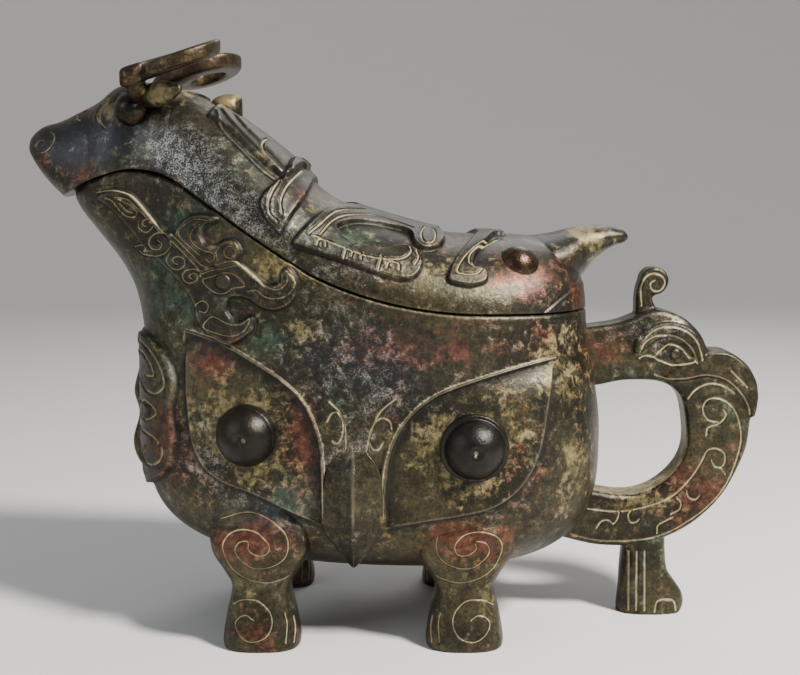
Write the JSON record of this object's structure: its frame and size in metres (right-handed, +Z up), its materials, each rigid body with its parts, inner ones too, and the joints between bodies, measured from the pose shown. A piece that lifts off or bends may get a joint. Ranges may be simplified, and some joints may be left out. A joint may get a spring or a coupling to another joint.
{
  "type": "lidded bronze vessel",
  "caption": "Lidded bronze pouring vessel in an ancient style: owl-faced bowl on bird legs, bird-shaped loop handle, and a horned animal's head and back as the lift-off lid.",
  "frame": {"origin": "on the ground, under the middle of the object's bounding box", "axes": "+Z up; +X towards the handle and -X towards the animal's head; +Y towards the far side, with one owl's face on -Y and one on +Y"},
  "size_m": [0.2588, 0.1078, 0.2035],
  "materials": {
    "vessel": "cast bronze with a brown and green patina",
    "lid": "cast bronze with a brown patina, worn paler"
  },
  "bodies": {
    "root": {"vessel": "vessel", "lid": "lid"}
  },
  "joints": []
}
